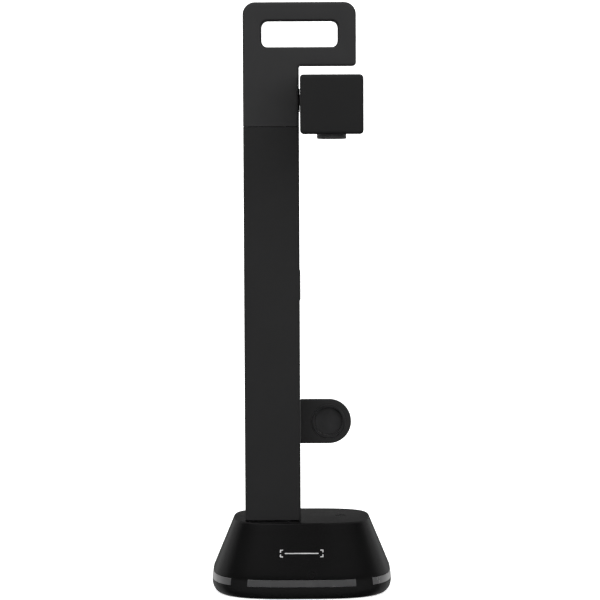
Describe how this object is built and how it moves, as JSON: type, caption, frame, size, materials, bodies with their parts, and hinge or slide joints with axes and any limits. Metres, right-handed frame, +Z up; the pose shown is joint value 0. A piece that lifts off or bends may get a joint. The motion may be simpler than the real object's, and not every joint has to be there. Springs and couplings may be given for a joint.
{
  "type": "document camera",
  "caption": "Upright document camera: tapered weighted base, square column with a carrying handle on top, and a long camera arm that folds down beside the column into a lens dock.",
  "frame": {"origin": "middle of the base's resting face, on the surface it stands on", "axes": "+Z up along the column; -Y to the front, the way the camera arm reaches; +X to the side the arm and the dock are on"},
  "size_m": [0.1188, 0.2894, 0.3869],
  "materials": {
    "base_plastic": "satin",
    "column_plastic": "matt",
    "head_plastic": "matt",
    "strip_rubber": "matt",
    "rim_rubber": "matt",
    "bumper_rubber": "matt",
    "black_rubber": "matt",
    "dark_plastic": "matt",
    "barrel_plastic": "satin",
    "screw_steel": "satin",
    "plain_steel": "plain",
    "brass": "turned",
    "circuit_board": "satin",
    "lens_glass": "polished",
    "frosted_window": "frosted"
  },
  "bodies": {
    "base": {"anti_slip_mat": "black_rubber", "ballast_weight": "plain_steel", "base_bottom_plate": "dark_plastic", "base_screw_front_left": "screw_steel", "base_screw_front_right": "screw_steel", "base_screw_rear_left": "screw_steel", "base_screw_rear_right": "screw_steel", "base_shell": "base_plastic", "board_standoff_front": "brass", "board_standoff_rear": "brass", "bumper_pad": "bumper_rubber", "column_front_shell": "column_plastic", "column_rear_shell": "column_plastic", "column_screw_high": "screw_steel", "column_screw_low": "screw_steel", "column_spine": "plain_steel", "dock_ring": "rim_rubber", "dock_screw_high": "screw_steel", "dock_screw_low": "screw_steel", "dock_tab": "column_plastic", "friction_washer": "screw_steel", "handle_screw_left": "screw_steel", "handle_screw_right": "screw_steel", "head_front_shell": "head_plastic", "head_rear_shell": "head_plastic", "hinge_bracket": "plain_steel", "hinge_collar": "black_rubber", "hinge_nut": "screw_steel", "hinge_shaft": "screw_steel", "key_board": "circuit_board", "key_switch": "dark_plastic", "main_board": "circuit_board", "spine_screw_front": "screw_steel", "spine_screw_rear": "screw_steel", "trim_strip_front": "strip_rubber", "trim_strip_left": "strip_rubber", "trim_strip_right": "strip_rubber", "usb_socket": "screw_steel", "usb_tongue": "dark_plastic"},
    "arm": {"arm_shell": "column_plastic", "arm_cover": "column_plastic", "cover_pillar_front": "brass", "cover_pillar_rear": "brass", "cover_screw_front": "screw_steel", "cover_screw_rear": "screw_steel", "hinge_hub": "plain_steel", "hub_screw_front": "screw_steel", "hub_screw_rear": "screw_steel", "lens_barrel": "barrel_plastic", "lens_glass": "lens_glass", "lens_element": "lens_glass", "image_sensor": "dark_plastic", "camera_board": "circuit_board", "led_window": "frosted_window", "led_board": "circuit_board"},
    "key": {"capture_key": "dark_plastic"}
  },
  "joints": [
    {"name": "arm_fold", "type": "hinge", "parent": "base", "child": "arm", "pos_m": [0, -0.002, 0.3229], "axis": [1, 0, 0], "range_deg": [0, 90]},
    {"name": "key_press", "type": "slide", "parent": "base", "child": "key", "axis": [0, 0, -1], "range_m": [0, 0.0006], "stiffness_N_per_m": 2500}
  ]
}
